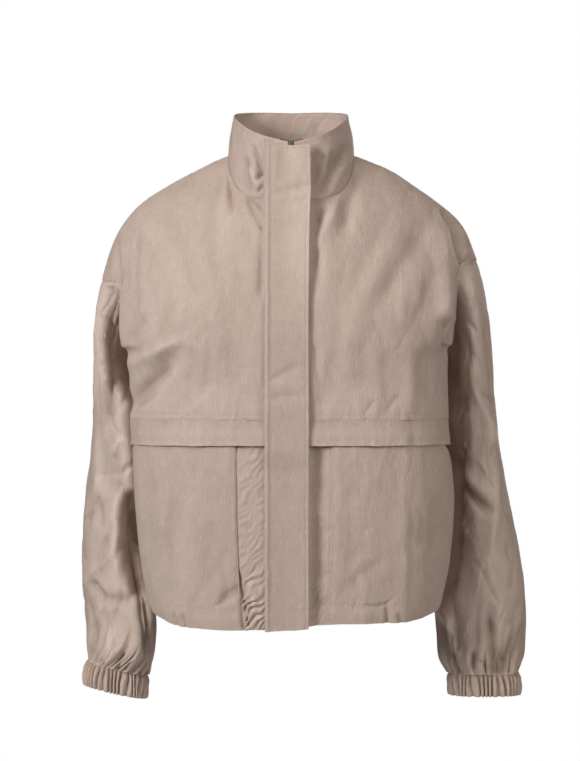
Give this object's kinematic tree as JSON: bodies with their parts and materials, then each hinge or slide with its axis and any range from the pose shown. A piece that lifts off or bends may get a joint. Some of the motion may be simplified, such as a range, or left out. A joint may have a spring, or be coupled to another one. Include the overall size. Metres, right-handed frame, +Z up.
{
  "type": "funnel neck jacket",
  "caption": "Hollow funnel neck jacket in crinkled taupe cloth, with a covered zip, flap pockets, dropped shoulders and gathered cuffs, filled out as if worn.",
  "frame": {"origin": "middle of the neck base, level with the points where the shoulder seams meet the collar", "axes": "+Z up along the body, -Y is the garment's front, +X is the wearer's left"},
  "size_m": [0.577, 0.2627, 0.7546],
  "materials": {
    "cloth": "matt crinkled taupe cloth, lightly creased",
    "zip_tape": "dark woven tape",
    "zip_metal": "dark satin metal"
  },
  "bodies": {
    "root": {"front_upper_right": "cloth", "front_upper_left": "cloth", "flap_right": "cloth", "flap_left": "cloth", "front_lower_right": "cloth", "front_lower_left": "cloth", "pocket_right": "cloth", "pocket_left": "cloth", "back": "cloth", "sleeve_front_right": "cloth", "sleeve_front_left": "cloth", "sleeve_back_right": "cloth", "sleeve_back_left": "cloth", "cuff_right": "cloth", "cuff_left": "cloth", "collar": "cloth", "placket": "cloth", "zip_tape_right": "zip_tape", "zip_tape_left": "zip_tape", "zip_slider": "zip_metal"}
  },
  "joints": []
}
